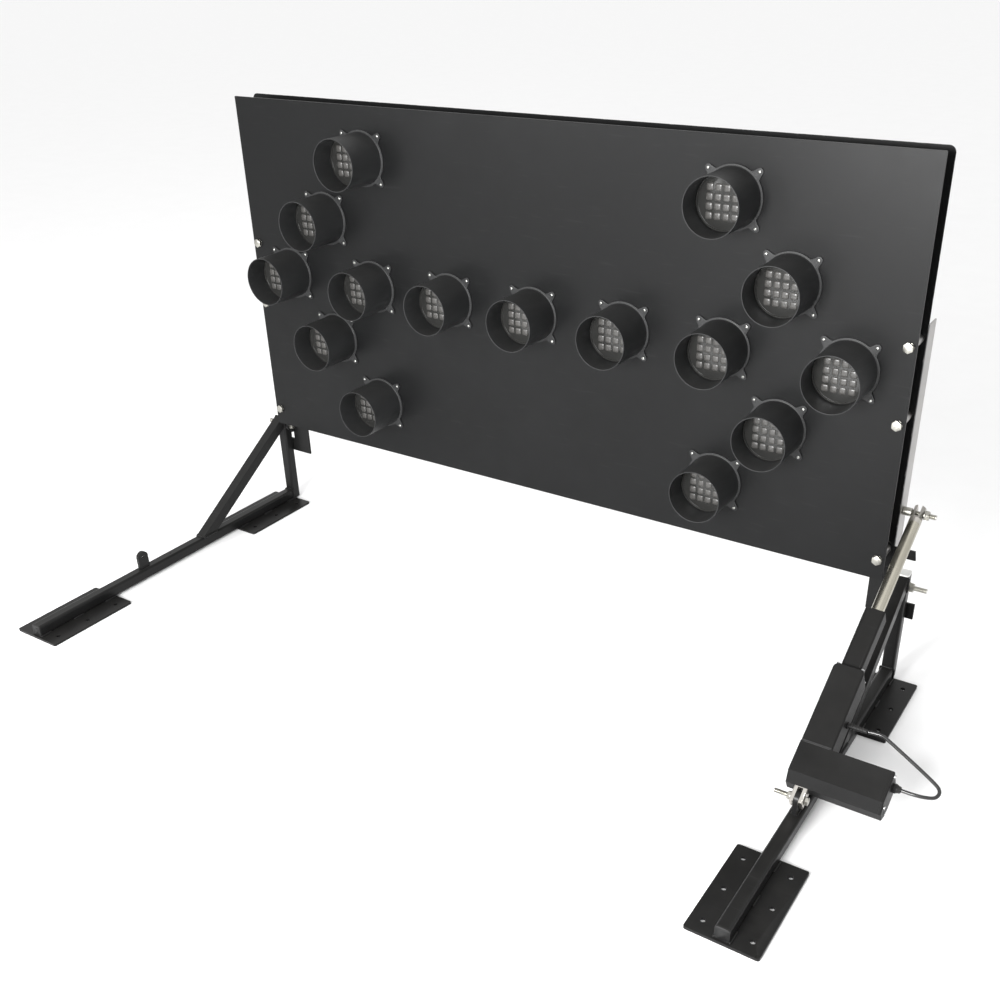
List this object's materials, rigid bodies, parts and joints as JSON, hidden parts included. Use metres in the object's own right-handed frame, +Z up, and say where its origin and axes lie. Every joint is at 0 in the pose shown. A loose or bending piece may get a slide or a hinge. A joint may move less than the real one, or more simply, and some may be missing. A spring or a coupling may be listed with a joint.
{
  "type": "fold-down arrow board",
  "caption": "Lamp board with round hooded lamps set out as a double-headed arrow, hinged between two bolt-down foot frames and raised by a linear actuator on one side.",
  "frame": {"origin": "on the floor, at the centre of the rectangle of the four outermost foot bolt holes", "axes": "+X from the left frame to the frame with the actuator, -Y the way the lamps face, +Z up"},
  "size_m": [1.843, 0.8515, 0.996],
  "materials": {
    "frame_paint": "satin black powder coat",
    "board_paint": "matte dark charcoal coat on sheet",
    "bare_alloy": "bare mill finish",
    "hood_plastic": "matte black moulding",
    "housing_plastic": "black moulding",
    "lens_clear": "pale moulded lens",
    "circuit_board": "pale LED board",
    "zinc_fasteners": "bright zinc plate",
    "end_caps": "pale plastic caps",
    "actuator_black": "black coat",
    "motor_steel": "machined steel",
    "nickel_cast": "cast and plated",
    "rod_steel": "satin bright rod",
    "wheel_plastic": "hard cream plastic",
    "black_rubber": "black rubber",
    "gland_plastic": "black nylon"
  },
  "bodies": {
    "root": {"left_base_tube": "frame_paint", "right_base_tube": "frame_paint", "left_post": "frame_paint", "right_post": "frame_paint", "left_brace": "frame_paint", "right_brace": "frame_paint", "front_foot_plates": "frame_paint", "rear_foot_plates": "frame_paint", "actuator_ears": "frame_paint", "tube_caps": "end_caps", "pivot_bolts": "zinc_fasteners", "pivot_nuts": "zinc_fasteners", "lower_pivot_bolt": "zinc_fasteners"},
    "board": {"front_panel": "board_paint", "back_panel": "board_paint", "frame_rails": "bare_alloy", "spacer_tubes": "bare_alloy", "channel_bolts": "zinc_fasteners", "channel_nuts": "zinc_fasteners", "left_side_channel": "bare_alloy", "right_side_channel": "bare_alloy", "left_hinge_bracket": "frame_paint", "right_hinge_bracket": "frame_paint", "lamp_driver_box": "housing_plastic", "supply_gland": "gland_plastic", "lamp_hood_01": "hood_plastic", "lamp_hood_02": "hood_plastic", "lamp_hood_03": "hood_plastic", "lamp_hood_04": "hood_plastic", "lamp_hood_05": "hood_plastic", "lamp_hood_06": "hood_plastic", "lamp_hood_07": "hood_plastic", "lamp_hood_08": "hood_plastic", "lamp_hood_09": "hood_plastic", "lamp_hood_10": "hood_plastic", "lamp_hood_11": "hood_plastic", "lamp_hood_12": "hood_plastic", "lamp_hood_13": "hood_plastic", "lamp_hood_14": "hood_plastic", "lamp_hood_15": "hood_plastic", "lamp_housings": "housing_plastic", "lamp_lenses": "lens_clear", "led_boards": "circuit_board", "hood_screws": "zinc_fasteners"},
    "actuator": {"gear_housing": "actuator_black", "motor_cover": "actuator_black", "tube_cover": "actuator_black", "outer_tube": "actuator_black", "rod_seal": "black_rubber", "rear_clevis": "nickel_cast", "motor_unit": "motor_steel", "motor_cable": "black_rubber", "cable_boot": "black_rubber", "cable_gland": "gland_plastic"},
    "screw": {"lead_screw": "motor_steel", "worm_wheel": "wheel_plastic"},
    "rod": {"rod_tube": "rod_steel", "drive_nut": "wheel_plastic", "rod_fork": "nickel_cast", "upper_stud": "zinc_fasteners"}
  },
  "joints": [
    {"name": "board_tilt", "type": "hinge", "parent": "root", "child": "board", "pos_m": [0, 0.3985, 0.21], "axis": [1, 0, 0], "range_deg": [0, 90]},
    {"name": "actuator_swing", "type": "hinge", "parent": "root", "child": "actuator", "pos_m": [0.79, -0.0955, 0.057], "axis": [1, 0, 0], "range_deg": [-1, 5]},
    {"name": "rod_slide", "type": "slide", "parent": "actuator", "child": "rod", "axis": [0, 0.8787, 0.4775], "range_m": [-0.2, 0]},
    {"name": "screw_spin", "type": "hinge", "parent": "actuator", "child": "screw", "pos_m": [0.79, -0.0955, 0.057], "axis": [0, 0.8787, 0.4775], "continuous": true}
  ],
  "couplings": [
    {"joint": "rod_slide", "follows": "board_tilt", "m_per_rad": -0.12572},
    {"joint": "actuator_swing", "follows": "board_tilt", "ratio": -0.008382},
    {"joint": "screw_spin", "follows": "board_tilt", "ratio": 98.742}
  ]
}
